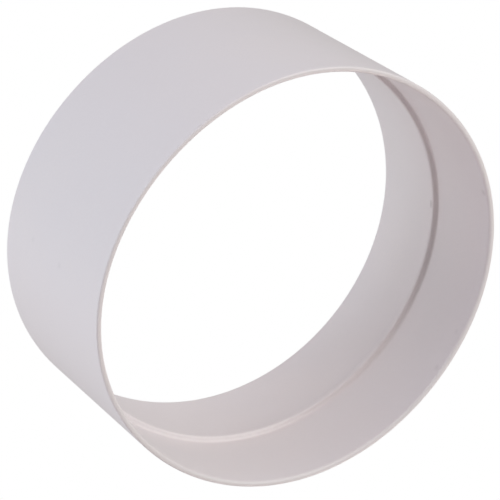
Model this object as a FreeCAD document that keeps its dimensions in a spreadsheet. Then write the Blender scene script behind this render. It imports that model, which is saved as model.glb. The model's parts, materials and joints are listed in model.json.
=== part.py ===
"""Duct connector: a moulded sleeve that joins two rigid round ducts end to end.

The sleeve is one piece. Its plain cylindrical wall forms a socket at each end, and a stop ring
inside, half way along, keeps the two ducts from being pushed through. It stands on one rim, with
its axis on +Z and the origin in the middle of the lower rim's plane. Lengths are in millimetres.
"""

import FreeCAD
import Part
import Sketcher
import math
import os

NODE = "connector_sleeve"

# Driving dimensions: alias, value, meaning
SIZES = [
    ("duct_diameter", 125.0, "outside diameter of the duct that slides into each socket"),
    ("duct_clearance", 0.3, "gap all round between the duct and the socket wall"),
    ("wall_thickness", 1.7, "thickness of the sleeve's wall"),
    ("overall_length", 57.0, "rim to rim"),
    ("stop_height", 1.7, "how far the stop ring stands in from the socket wall"),
    ("stop_width", 2.1, "width of the stop ring below its bevelled inner edges, along the axis"),
    ("stop_flank_draft", 5.0, "draft of the stop ring's two flanks, in degrees"),
    ("stop_root_radius", 0.8, "fillet between the stop ring and the socket walls"),
    ("crest_bevel", 0.4, "bevel on the stop ring's inner edges"),
    ("rim_bevel", 0.4, "bevel on each rim's outer edge"),
    ("mouth_bevel", 0.4, "bevel on each rim's inner edge, which leads the duct in"),
]

# Sizes that follow from the driving dimensions, as expressions on the sheet
SOCKET_RADIUS = "sizes.duct_diameter / 2 + sizes.duct_clearance"
CREST_RADIUS = f"{SOCKET_RADIUS} - sizes.stop_height"
STOP_BOTTOM = "(sizes.overall_length - sizes.stop_width) / 2"

# Bevels, and whether each one rises outwards or falls outwards on the sleeve's lower half
BEVELS = [("rim_bevel", 1), ("mouth_bevel", -1), ("crest_bevel", -1)]

# How a sketch numbers its origin, its horizontal axis and the ends of a line or an arc
ORIGIN = (-1, 1)
HORIZONTAL_AXIS = -1
START = 1
END = 2


def make_sheet(doc):
    """The spreadsheet that holds the driving dimensions, one aliased cell to a row."""
    sheet = doc.addObject("Spreadsheet::Sheet", "sizes")
    for row, (alias, value, meaning) in enumerate(SIZES, start=1):
        sheet.set(f"A{row}", alias)
        sheet.set(f"B{row}", str(value))
        sheet.set(f"C{row}", meaning)
        sheet.setAlias(f"B{row}", alias)
    doc.recompute()
    return sheet


def radii(sheet):
    """The sleeve's radii on the stop ring's crest, in the sockets and outside."""
    socket = sheet.duct_diameter / 2 + sheet.duct_clearance
    return socket - sheet.stop_height, socket, socket + sheet.wall_thickness


class Section:
    """A sketch on the body's XZ plane, with radius across and height up, drawn by name."""

    def __init__(self, body, name):
        plane = next(p for p in body.Origin.OriginFeatures if p.Role == "XZ_Plane")
        self.sketch = body.newObject("Sketcher::SketchObject", name)
        self.sketch.AttachmentSupport = [(plane, "")]
        self.sketch.MapMode = "FlatFace"
        self.numbers = {}

    def line(self, name, first, second):
        segment = Part.LineSegment(FreeCAD.Vector(*first, 0), FreeCAD.Vector(*second, 0))
        self.numbers[name] = self.sketch.addGeometry(segment, False)

    def arc(self, name, centre, radius, first_angle, last_angle):
        circle = Part.Circle(FreeCAD.Vector(*centre, 0), FreeCAD.Vector(0, 0, 1), radius)
        arc = Part.ArcOfCircle(circle, first_angle, last_angle)
        self.numbers[name] = self.sketch.addGeometry(arc, False)

    def tie(self, kind, *items):
        """Adds a constraint between lines and arcs, given by name, and their ends."""
        items = [self.numbers.get(item, item) for item in items]
        return self.sketch.addConstraint(Sketcher.Constraint(kind, *items))

    def size(self, name, kind, *items, drawn, expression):
        """Adds a dimension at the value it is drawn with and binds it to the sheet."""
        self.sketch.renameConstraint(self.tie(kind, *items, drawn), name)
        self.sketch.setExpression(f"Constraints.{name}", expression)


def sides(top):
    """The sleeve's two halves: name, sign of a rise, and height at a distance from the half's rim."""
    return [("lower", 1, lambda distance: distance), ("upper", -1, lambda distance: top - distance)]


def draw_section(section, sheet):
    """Draws one side of the sleeve: the wall with the stop ring, its root fillets and the bevels."""
    crest, socket, outer = radii(sheet)
    rim, mouth, bevel = sheet.rim_bevel, sheet.mouth_bevel, sheet.crest_bevel
    fillet, draft = sheet.stop_root_radius, math.radians(sheet.stop_flank_draft)
    # Distances from a rim: the stop ring's edge, the end of its flank and the fillet's centre
    edge = (sheet.overall_length - sheet.stop_width) / 2
    foot = socket - fillet + fillet * math.sin(draft)
    flank_end = edge - (foot - crest - bevel) * math.tan(draft)
    centre = flank_end - fillet * math.cos(draft)
    turn = math.pi / 2 - draft
    for side, sign, height in sides(sheet.overall_length):
        section.line(f"{side}_rim", (socket + mouth, height(0)), (outer - rim, height(0)))
        section.line(f"{side}_rim_bevel", (outer - rim, height(0)), (outer, height(rim)))
        section.line(f"{side}_mouth_bevel", (socket, height(mouth)), (socket + mouth, height(0)))
        section.line(f"{side}_wall", (socket, height(mouth)), (socket, height(centre)))
        section.arc(f"{side}_fillet", (socket - fillet, height(centre)), fillet,
                    *sorted((0, sign * turn)))
        section.line(f"{side}_flank", (crest + bevel, height(edge)), (foot, height(flank_end)))
        section.line(f"{side}_crest_bevel", (crest, height(edge + bevel)), (crest + bevel, height(edge)))
    section.line("outside", (outer, rim), (outer, sheet.overall_length - rim))
    section.line("crest", (crest, edge + bevel), (crest, sheet.overall_length - edge - bevel))


def tie_section(section):
    """Closes the outline and keeps its lines square and its fillets smooth."""
    for side, near_end, fillet_wall, fillet_flank in (
        ("lower", START, START, END),
        ("upper", END, END, START),
    ):
        section.tie("Coincident", f"{side}_rim", START, f"{side}_mouth_bevel", END)
        section.tie("Coincident", f"{side}_rim", END, f"{side}_rim_bevel", START)
        section.tie("Coincident", f"{side}_rim_bevel", END, "outside", near_end)
        section.tie("Coincident", f"{side}_mouth_bevel", START, f"{side}_wall", START)
        section.tie("Tangent", f"{side}_wall", END, f"{side}_fillet", fillet_wall)
        section.tie("Tangent", f"{side}_fillet", fillet_flank, f"{side}_flank", END)
        section.tie("Coincident", f"{side}_flank", START, f"{side}_crest_bevel", END)
        section.tie("Coincident", f"{side}_crest_bevel", START, "crest", near_end)
        section.tie("Horizontal", f"{side}_rim")
        section.tie("Vertical", f"{side}_wall")
    section.tie("Vertical", "outside")
    section.tie("Vertical", "crest")
    section.tie("PointOnObject", "lower_rim", START, HORIZONTAL_AXIS)
    section.tie("PointOnObject", "upper_wall", END, "lower_wall")
    section.tie("Equal", "upper_fillet", "lower_fillet")


def size_section(section, sheet):
    """Binds the outline's sizes to the sheet."""
    crest, socket, _ = radii(sheet)
    section.size("socket_radius", "DistanceX", *ORIGIN, "lower_wall", START,
                 drawn=socket, expression=SOCKET_RADIUS)
    section.size("wall_thickness", "DistanceX", "lower_wall", START, "outside", START,
                 drawn=sheet.wall_thickness, expression="sizes.wall_thickness")
    section.size("overall_length", "DistanceY", "lower_rim", START, "upper_rim", START,
                 drawn=sheet.overall_length, expression="sizes.overall_length")
    section.size("crest_radius", "DistanceX", *ORIGIN, "crest", START,
                 drawn=crest, expression=CREST_RADIUS)
    section.size("stop_bottom", "DistanceY", *ORIGIN, "lower_flank", START,
                 drawn=(sheet.overall_length - sheet.stop_width) / 2, expression=STOP_BOTTOM)
    section.size("stop_width", "DistanceY", "lower_flank", START, "upper_flank", START,
                 drawn=sheet.stop_width, expression="sizes.stop_width")
    section.size("root_radius", "Radius", "lower_fillet",
                 drawn=sheet.stop_root_radius, expression="sizes.stop_root_radius")
    for side, sign, _ in sides(sheet.overall_length):
        section.size(f"{side}_draft", "Angle", f"{side}_flank",
                     drawn=-sign * math.radians(sheet.stop_flank_draft),
                     expression=f"{-sign} * sizes.stop_flank_draft * 1 deg")
        for bevel, rise in BEVELS:
            line, size = f"{side}_{bevel}", sheet.get(bevel)
            section.size(f"{line}_width", "DistanceX", line, START, line, END,
                         drawn=size, expression=f"sizes.{bevel}")
            section.size(f"{line}_rise", "DistanceY", line, START, line, END,
                         drawn=sign * rise * size, expression=f"{sign * rise} * sizes.{bevel}")


def revolve(body, sketch, name):
    """Turns a section all the way round the sleeve's axis."""
    feature = body.newObject("PartDesign::Revolution", name)
    feature.Profile = sketch
    feature.ReferenceAxis = (sketch, ["V_Axis"])
    feature.Angle = 360.0


def make_sleeve(doc, sheet):
    """The whole connector as one body."""
    body = doc.addObject("PartDesign::Body", NODE)
    body.Label = NODE
    body.Placement = FreeCAD.Placement()
    section = Section(body, "sleeve_section")
    draw_section(section, sheet)
    tie_section(section)
    size_section(section, sheet)
    revolve(body, section.sketch, "turned_sleeve")
    return body


def check(doc, part):
    """Stops if any object failed to compute or the part isn't one valid solid."""
    for item in doc.Objects:
        if "Invalid" in item.State or "Error" in item.State:
            raise RuntimeError(f"{item.Label} failed: {item.State}")
    if part.Shape.isNull() or not part.Shape.isValid() or len(part.Shape.Solids) != 1:
        raise RuntimeError(f"{part.Label} isn't one valid solid")


def main():
    doc = FreeCAD.newDocument("duct_connector")
    sheet = make_sheet(doc)
    sleeve = make_sleeve(doc, sheet)
    doc.recompute()
    check(doc, sleeve)
    os.makedirs("parts", exist_ok=True)
    sleeve.Shape.exportStep(os.path.join("parts", f"{sleeve.Label}.step"))
    box = sleeve.Shape.optimalBoundingBox()
    print(f"{sleeve.Label}: {box.XLength:.2f} x {box.YLength:.2f} x {box.ZLength:.2f} mm, "
          f"{sleeve.Shape.Volume:.0f} mm3, {len(sleeve.Shape.Faces)} faces")


main()
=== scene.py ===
"""Duct connector: the moulded sleeve's looks, with its floor, studio light and camera.

Everything is in metres, in the part's own frame: the sleeve stands on its lower rim, its axis on +Z.
"""

import json
import math

import bpy
from mathutils import Matrix, Vector


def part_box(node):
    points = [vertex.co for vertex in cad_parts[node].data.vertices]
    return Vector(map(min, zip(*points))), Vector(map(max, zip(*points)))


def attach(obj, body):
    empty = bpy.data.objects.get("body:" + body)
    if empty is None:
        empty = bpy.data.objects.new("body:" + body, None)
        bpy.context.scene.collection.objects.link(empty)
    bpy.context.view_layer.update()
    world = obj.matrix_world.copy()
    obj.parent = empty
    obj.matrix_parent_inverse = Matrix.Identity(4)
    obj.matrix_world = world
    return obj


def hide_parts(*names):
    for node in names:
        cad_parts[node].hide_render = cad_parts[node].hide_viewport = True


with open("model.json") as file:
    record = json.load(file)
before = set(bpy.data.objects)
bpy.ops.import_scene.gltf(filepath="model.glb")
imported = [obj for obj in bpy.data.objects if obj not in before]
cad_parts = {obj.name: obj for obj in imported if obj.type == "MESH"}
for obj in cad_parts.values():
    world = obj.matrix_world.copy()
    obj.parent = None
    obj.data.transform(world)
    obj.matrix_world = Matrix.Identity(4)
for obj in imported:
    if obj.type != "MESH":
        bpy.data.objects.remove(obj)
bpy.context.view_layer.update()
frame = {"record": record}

MM = 0.001
NODE = "connector_sleeve"

# The sleeve's section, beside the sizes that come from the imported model
STOP_HEIGHT = 1.7 * MM
STOP_WIDTH = 2.0 * MM
STOP_DRAFT = math.radians(5)
STOP_ROOT_RADIUS = 0.8 * MM
STOP_EDGE_RADIUS = 0.65 * MM
RIM_RADIUS = 0.5 * MM
MOUTH_RADIUS = 0.9 * MM

# The thin wall is a little out of round: how many lobes, then their size and direction at each rim
OUT_OF_ROUND = [
    (2, (0.91 * MM, math.radians(119)), (0.94 * MM, math.radians(143))),
    (3, (0.36 * MM, math.radians(84)), (0.19 * MM, math.radians(74))),
    (4, (0.19 * MM, math.radians(41)), (0.26 * MM, math.radians(43))),
]

# How finely the sleeve is meshed
STEPS_ROUND = 384
ARC_PIECES = 6
LONGEST_STRETCH = 2.5 * MM
SUPPORT = 0.12 * MM

# The plastic's colours, and the range of its roughness
PLASTIC_COOL = (0.857, 0.801, 0.816)
PLASTIC_WARM = (0.874, 0.810, 0.814)
PLASTIC_GRAIN = (0.855, 0.794, 0.804)
PLASTIC_ROUGHNESS = (0.30, 0.40)

# The plastic's patterns: features to the metre, and levels of detail
MOTTLE = (45, 4)
GRAIN = (1400, 3)
GLOSS = (160, 5)
DRAW_MARKS = (500, 2)
DRAW_MARK_STRETCH = (1, 1, 0.04)
PATTERN_RANGE = (0.3, 0.7)

# The raised patterns: height and strength
DRAW_MARK_BUMP = (0.02 * MM, 0.3)
PIT_BUMP = (0.03 * MM, 0.25)

# The few small dark specks on the wall, and their colour
SPECK_COLOUR = (0.30, 0.25, 0.23)
SPECKS = [
    # surface, angle in degrees, height, reach, how dark
    ("socket", 144.6, 55.2 * MM, 1.3 * MM, 0.24),
    ("socket", 103.5, 54.0 * MM, 1.0 * MM, 0.10),
    ("socket", 92.4, 54.7 * MM, 1.3 * MM, 0.14),
    ("stop", 132.8, 28.3 * MM, 1.1 * MM, 0.34),
    ("stop", 131.8, 28.3 * MM, 1.1 * MM, 0.34),
    ("outside", 302.0, 15.7 * MM, 1.3 * MM, 0.06),
    ("outside", 303.2, 32.7 * MM, 1.2 * MM, 0.10),
]

# A Mix node's colour sockets, which share their names with its other sockets
MIX_FIRST, MIX_SECOND, MIX_RESULT = 6, 7, 2

# The floor, the room's light from above and from below, and how soft the change between them is
FLOOR_HALF = 3.0
FLOOR_GLOW = (1, 1, 1)
LIGHT_ABOVE = (0.224, 0.215, 0.208)
LIGHT_BELOW = (0.472, 0.467, 0.477)
HORIZON = 0.1

# The studio's soft lamps, named by the side of the picture that they stand on
LAMP_SIZE = 0.5
LAMP_DISTANCE = 1.0
LAMPS = [
    # name, elevation and azimuth in degrees, power in watts, colour
    ("top", 42, 195, 3.13, (1.0, 0.966, 0.934)),
    ("upper_right", 50, 150, 2.88, (0.933, 1.0, 0.980)),
    ("lower_right", 20, 70, 1.87, (1.0, 0.884, 0.806)),
    ("bottom", 20, 10, 1.37, (1.0, 0.832, 0.890)),
    ("left", 5, 270, 2.38, (0.788, 0.856, 1.0)),
    ("left_under_the_floor", -20, 280, 1.37, (0.819, 0.932, 1.0)),
    ("lower_left_under_the_floor", -20, 340, 2.14, (0.895, 0.997, 1.0)),
]

# The camera: its angles, the lens, and where the sleeve's middle falls in the picture
PICTURE = 500
SENSOR = 36.0
LENS = 204.65
ELEVATION = math.radians(52.08)
ROLL = math.radians(125.65)
DISTANCE = 828.5 * MM
MIDDLE_PIXEL = (253.25, 246.4)


def sleeve_sizes(record):
    """Outer radius, inner radius of the sockets and length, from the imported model."""
    low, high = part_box(NODE)
    mount = next(m for m in record["mounts"] if m["name"] == "upper_socket")
    return high.x, mount["dims"]["r_mm"] * MM, high.z - low.z


def section_corners(outer, socket, length):
    """Corners of the section as (radius, height, rounding), once round it."""
    crest = socket - STOP_HEIGHT
    middle = length / 2
    edge = STOP_WIDTH / 2
    root = edge + STOP_HEIGHT * math.tan(STOP_DRAFT)
    return [
        (socket, 0, MOUTH_RADIUS),
        (outer, 0, RIM_RADIUS),
        (outer, length, RIM_RADIUS),
        (socket, length, MOUTH_RADIUS),
        (socket, middle + root, STOP_ROOT_RADIUS),
        (crest, middle + edge, STOP_EDGE_RADIUS),
        (crest, middle - edge, STOP_EDGE_RADIUS),
        (socket, middle - root, STOP_ROOT_RADIUS),
    ]


def rounded(before, corner, after, radius):
    """Points of the arc that rounds a corner, from the line before it to the line after it."""
    to_before = (before - corner).normalized()
    to_after = (after - corner).normalized()
    half = to_before.angle(to_after) / 2
    inward = (to_before + to_after).normalized()
    centre = corner + inward * radius / math.sin(half)
    start = corner + to_before * radius / math.tan(half) - centre
    turn = to_before.angle_signed(to_after)
    sweep = math.copysign(math.pi - 2 * half, turn)
    points = []
    for piece in range(ARC_PIECES + 1):
        angle = sweep * piece / ARC_PIECES
        points.append(centre + Matrix.Rotation(angle, 2) @ start)
    return points


def stretch(start, end):
    """Points between two ends of a straight stretch, with one close to each end."""
    line = end - start
    length = line.length
    inner = length - 2 * SUPPORT
    if inner <= SUPPORT:
        return []
    pieces = max(1, math.ceil(inner / LONGEST_STRETCH))
    return [start + line * (SUPPORT + inner * k / pieces) / length for k in range(pieces + 1)]


def section_outline(corners):
    """The whole section as a closed row of points, arcs and straight stretches alike."""
    points = [Vector(corner[:2]) for corner in corners]
    count = len(points)
    arcs = [
        rounded(points[k - 1], points[k], points[(k + 1) % count], corners[k][2])
        for k in range(count)
    ]
    outline = []
    for k in range(count):
        outline += arcs[k]
        outline += stretch(arcs[k][-1], arcs[(k + 1) % count][0])
    return outline


def out_of_round(angle, share):
    """How far the wall stands out at an angle, at a share of the height from rim to rim."""
    offset = 0
    for lobes, lower, upper in OUT_OF_ROUND:
        offset += (1 - share) * lower[0] * math.cos(lobes * (angle - lower[1]))
        offset += share * upper[0] * math.cos(lobes * (angle - upper[1]))
    return offset


def on_sleeve(radius, angle, height, length):
    """A place on the sleeve, from the radius that it would have if the sleeve were round."""
    radius += out_of_round(angle, height / length)
    return Vector((radius * math.cos(angle), radius * math.sin(angle), height))


def make_sleeve(outer, socket, length):
    """The sleeve as one smooth mesh, turned from its section."""
    outline = section_outline(section_corners(outer, socket, length))
    count = len(outline)
    vertices, faces = [], []
    for step in range(STEPS_ROUND):
        angle = 2 * math.pi * step / STEPS_ROUND
        vertices += [on_sleeve(point.x, angle, point.y, length) for point in outline]
        here, there = step * count, (step + 1) % STEPS_ROUND * count
        for k in range(count):
            following = (k + 1) % count
            faces.append((here + k, there + k, there + following, here + following))
    mesh = bpy.data.meshes.new("sleeve")
    mesh.from_pydata(vertices, [], faces)
    mesh.validate()
    mesh.shade_smooth()
    sleeve = bpy.data.objects.new("sleeve", mesh)
    bpy.context.scene.collection.objects.link(sleeve)
    return sleeve


class Finish:
    """A node material on a piece's own coordinates, put together from a few kinds of node."""

    def __init__(self, name):
        self.material = bpy.data.materials.new(name)
        self.material.use_nodes = True
        self.tree = self.material.node_tree
        self.shader = self.tree.nodes["Principled BSDF"]
        self.place = self.tree.nodes.new("ShaderNodeTexCoord").outputs["Object"]

    def link(self, source, target):
        self.tree.links.new(source, target)

    def noise(self, scale, detail, stretch=(1, 1, 1)):
        """Noise from 0 to 1, its features about 1 / scale metres, longer where stretch is under 1."""
        mapping = self.tree.nodes.new("ShaderNodeMapping")
        mapping.inputs["Scale"].default_value = stretch
        self.link(self.place, mapping.inputs["Vector"])
        node = self.tree.nodes.new("ShaderNodeTexNoise")
        node.inputs["Scale"].default_value = scale
        node.inputs["Detail"].default_value = detail
        self.link(mapping.outputs["Vector"], node.inputs["Vector"])
        return node.outputs["Fac"]

    def spread(self, value, source, target):
        """Maps a range of values onto another range, held at its ends."""
        node = self.tree.nodes.new("ShaderNodeMapRange")
        node.inputs["From Min"].default_value, node.inputs["From Max"].default_value = source
        node.inputs["To Min"].default_value, node.inputs["To Max"].default_value = target
        self.link(value, node.inputs["Value"])
        return node.outputs["Result"]

    def spot(self, place, reach, strength):
        """A factor that falls from its strength at a place to nothing at the edge of its reach."""
        node = self.tree.nodes.new("ShaderNodeVectorMath")
        node.operation = "DISTANCE"
        node.inputs[1].default_value = place
        self.link(self.place, node.inputs[0])
        return self.spread(node.outputs["Value"], (0, reach), (strength, 0))

    def mix(self, factor, first, second):
        """A colour between two others, each a colour or the output of a node."""
        node = self.tree.nodes.new("ShaderNodeMix")
        node.data_type = "RGBA"
        self.link(factor, node.inputs["Factor"])
        for socket, colour in ((MIX_FIRST, first), (MIX_SECOND, second)):
            if isinstance(colour, tuple):
                node.inputs[socket].default_value = (*colour, 1)
            else:
                self.link(colour, node.inputs[socket])
        return node.outputs[MIX_RESULT]

    def bump(self, height, distance, strength, under=None):
        """A surface normal raised by a height, on top of another bump."""
        node = self.tree.nodes.new("ShaderNodeBump")
        node.inputs["Distance"].default_value = distance
        node.inputs["Strength"].default_value = strength
        self.link(height, node.inputs["Height"])
        if under:
            self.link(under, node.inputs["Normal"])
        return node.outputs["Normal"]


def speck_places(outer, socket, length):
    """Each speck's place on the sleeve, with its reach and how dark it is."""
    radii = {"socket": socket, "stop": socket - STOP_HEIGHT, "outside": outer}
    places = []
    for surface, angle, height, reach, darkness in SPECKS:
        place = on_sleeve(radii[surface], math.radians(angle), height, length)
        places.append((place, reach, darkness))
    return places


def plastic_material(specks):
    """Satin white moulded plastic: faintly mottled and finely grained, with draw marks and specks."""
    finish = Finish("moulded_white_plastic")
    mottle = finish.spread(finish.noise(*MOTTLE), PATTERN_RANGE, (0, 1))
    fine = finish.noise(*GRAIN)
    grain = finish.spread(fine, PATTERN_RANGE, (0, 1))
    clean = finish.mix(mottle, PLASTIC_COOL, PLASTIC_WARM)
    colour = finish.mix(grain, clean, PLASTIC_GRAIN)
    # Darkens the colour towards the speck colour in a few small listed spots
    for place, reach, darkness in specks:
        colour = finish.mix(finish.spot(place, reach, darkness), colour, SPECK_COLOUR)
    roughness = finish.spread(finish.noise(*GLOSS), PATTERN_RANGE, PLASTIC_ROUGHNESS)
    lines = finish.noise(*DRAW_MARKS, stretch=DRAW_MARK_STRETCH)
    draw_marks = finish.bump(lines, *DRAW_MARK_BUMP)
    pits = finish.bump(fine, *PIT_BUMP, under=draw_marks)
    finish.link(colour, finish.shader.inputs["Base Color"])
    finish.link(roughness, finish.shader.inputs["Roughness"])
    finish.link(pits, finish.shader.inputs["Normal"])
    return finish.material


def make_floor():
    """A wide white floor that only the camera sees, so that the lamps below it reach the sleeve."""
    mesh = bpy.data.meshes.new("floor")
    corners = [(-1, -1), (1, -1), (1, 1), (-1, 1)]
    mesh.from_pydata([(x * FLOOR_HALF, y * FLOOR_HALF, 0) for x, y in corners], [], [(0, 1, 2, 3)])
    material = bpy.data.materials.new("floor_white")
    material.use_nodes = True
    shader = material.node_tree.nodes["Principled BSDF"]
    shader.inputs["Base Color"].default_value = (0, 0, 0, 1)
    shader.inputs["Specular IOR Level"].default_value = 0
    shader.inputs["Emission Color"].default_value = (*FLOOR_GLOW, 1)
    shader.inputs["Emission Strength"].default_value = 1
    mesh.materials.append(material)
    floor = bpy.data.objects.new("floor", mesh)
    bpy.context.scene.collection.objects.link(floor)
    floor.visible_diffuse = False
    floor.visible_glossy = False
    floor.visible_shadow = False


def make_surround():
    """The room's light, one colour from above and another from below."""
    world = bpy.data.worlds.new("surround")
    world.use_nodes = True
    tree = world.node_tree
    direction = tree.nodes.new("ShaderNodeTexCoord")
    axes = tree.nodes.new("ShaderNodeSeparateXYZ")
    rise = tree.nodes.new("ShaderNodeMapRange")
    rise.inputs["From Min"].default_value = -HORIZON
    rise.inputs["From Max"].default_value = HORIZON
    light = tree.nodes.new("ShaderNodeMix")
    light.data_type = "RGBA"
    light.inputs[MIX_FIRST].default_value = (*LIGHT_BELOW, 1)
    light.inputs[MIX_SECOND].default_value = (*LIGHT_ABOVE, 1)
    tree.links.new(direction.outputs["Generated"], axes.inputs["Vector"])
    tree.links.new(axes.outputs["Z"], rise.inputs["Value"])
    tree.links.new(rise.outputs["Result"], light.inputs["Factor"])
    tree.links.new(light.outputs[MIX_RESULT], tree.nodes["Background"].inputs["Color"])
    bpy.context.scene.world = world


def add_lamp(name, elevation, azimuth, power, colour, target):
    """A round soft lamp that points at the target. One below the floor shows in no reflection."""
    data = bpy.data.lights.new(name, "AREA")
    data.shape = "DISK"
    data.size = LAMP_SIZE
    data.energy = power
    data.color = colour
    lamp = bpy.data.objects.new(name, data)
    bpy.context.scene.collection.objects.link(lamp)
    level = math.cos(elevation)
    away = Vector((level * math.cos(azimuth), level * math.sin(azimuth), math.sin(elevation)))
    lamp.location = target + away * LAMP_DISTANCE
    lamp.rotation_euler = away.to_track_quat("Z", "Y").to_euler()
    lamp.visible_glossy = elevation > 0


def camera_axes():
    """The camera's right, up and backward directions."""
    back = Vector((0, -math.cos(ELEVATION), math.sin(ELEVATION)))
    level_right = Vector((1, 0, 0))
    level_up = back.cross(level_right)
    right = math.cos(ROLL) * level_right + math.sin(ROLL) * level_up
    return right, back.cross(right), back


def place_camera(target):
    """Puts the camera so that the target falls on its pixel."""
    right, up, back = camera_axes()
    data = bpy.data.cameras.new("camera")
    data.sensor_width = SENSOR
    data.lens = LENS
    camera = bpy.data.objects.new("camera", data)
    bpy.context.scene.collection.objects.link(camera)
    per_pixel = SENSOR / LENS / PICTURE * DISTANCE
    across = (MIDDLE_PIXEL[0] - PICTURE / 2) * per_pixel
    above = (PICTURE / 2 - MIDDLE_PIXEL[1]) * per_pixel
    turn = Matrix((right, up, back)).transposed().to_4x4()
    place = target + back * DISTANCE - right * across - up * above
    camera.matrix_world = Matrix.Translation(place) @ turn
    bpy.context.scene.camera = camera


bpy.context.scene.view_settings.view_transform = "Standard"

outer, socket, length = sleeve_sizes(frame["record"])
sleeve = make_sleeve(outer, socket, length)
sleeve.data.materials.append(plastic_material(speck_places(outer, socket, length)))
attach(sleeve, "root")
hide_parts(NODE)

middle = Vector((0, 0, length / 2))
make_floor()
make_surround()
for name, elevation, azimuth, power, colour in LAMPS:
    add_lamp(name, math.radians(elevation), math.radians(azimuth), power, colour, middle)
place_camera(middle)
